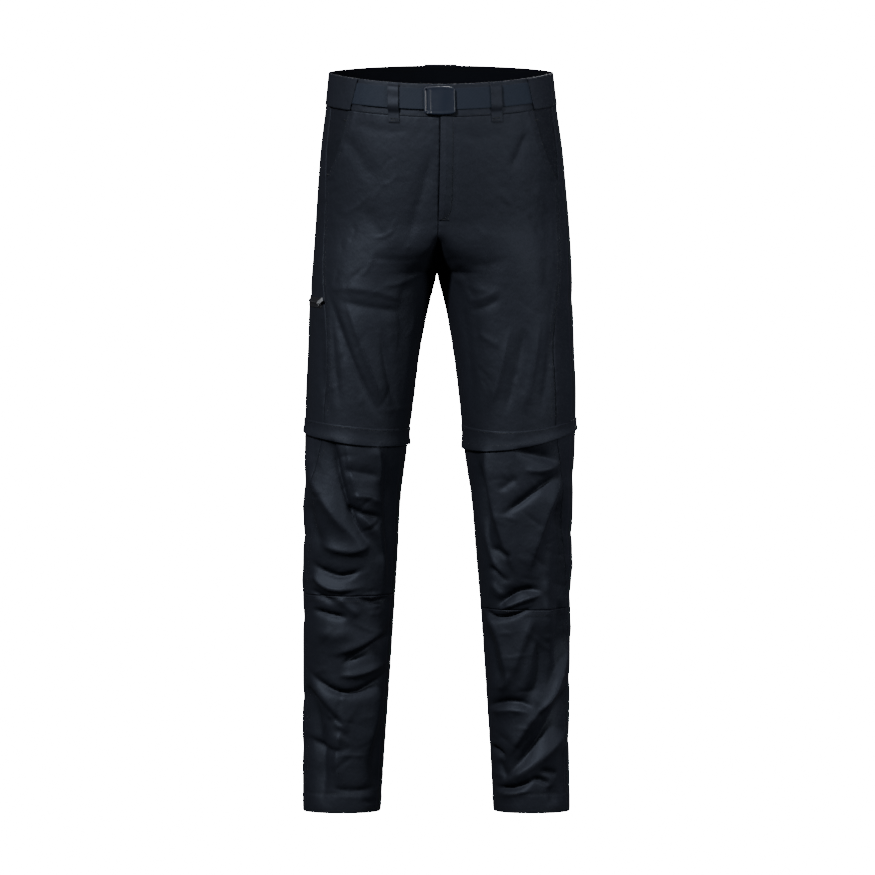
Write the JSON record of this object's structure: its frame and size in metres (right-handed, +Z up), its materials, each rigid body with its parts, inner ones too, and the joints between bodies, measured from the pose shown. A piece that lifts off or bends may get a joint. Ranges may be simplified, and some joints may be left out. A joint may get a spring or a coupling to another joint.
{
  "type": "hiking trousers",
  "caption": "Straight-leg zip-off hiking trousers with a webbing belt through the waistband, held up at the waist and hollow as when worn.",
  "frame": {"origin": "middle of the waist opening, level with the waistband's upper edge at the sides", "axes": "+Z up towards the waist opening, -Y towards the front with the fly and buckle, +X towards the wearer's left"},
  "size_m": [0.3915, 0.2638, 1.0587],
  "materials": {
    "shell_nylon": "woven nylon, matt with a soft sheen",
    "pocket_nylon": "woven nylon, matt",
    "webbing": "ribbed nylon webbing",
    "buckle_plastic": "satin moulded plastic",
    "zip_tape": "knitted zip tape",
    "zip_metal": "dark lacquered zinc"
  },
  "bodies": {
    "garment": {"waistband_front_left": "shell_nylon", "waistband_front_right": "shell_nylon", "waistband_back": "shell_nylon", "waistband_tunnel_left": "shell_nylon", "waistband_tunnel_right": "shell_nylon", "belt_left": "webbing", "belt_right": "webbing", "belt_end": "webbing", "buckle": "buckle_plastic", "belt_loop_front_left": "shell_nylon", "belt_loop_front_right": "shell_nylon", "belt_loop_back": "shell_nylon", "fly_placket": "shell_nylon", "front_thigh_left": "shell_nylon", "front_thigh_right": "shell_nylon", "pocket_facing_left": "pocket_nylon", "pocket_facing_right": "pocket_nylon", "back_thigh_left": "shell_nylon", "back_thigh_right": "shell_nylon", "knee_flap_left": "shell_nylon", "knee_flap_right": "shell_nylon", "front_knee_left": "shell_nylon", "front_knee_right": "shell_nylon", "shin_left": "shell_nylon", "shin_right": "shell_nylon", "lower_back_left": "shell_nylon", "lower_back_right": "shell_nylon", "thigh_zip_tape": "zip_tape", "thigh_zip_slider": "zip_metal"},
    "zip_pull": {"thigh_zip_pull": "zip_metal"}
  },
  "joints": [
    {"name": "zip_pull_hinge", "type": "hinge", "parent": "garment", "child": "zip_pull", "pos_m": [-0.17335, -0.06062, -0.32468], "axis": [0.1471, -0.3811, -0.9128], "range_deg": [0, 165]}
  ]
}
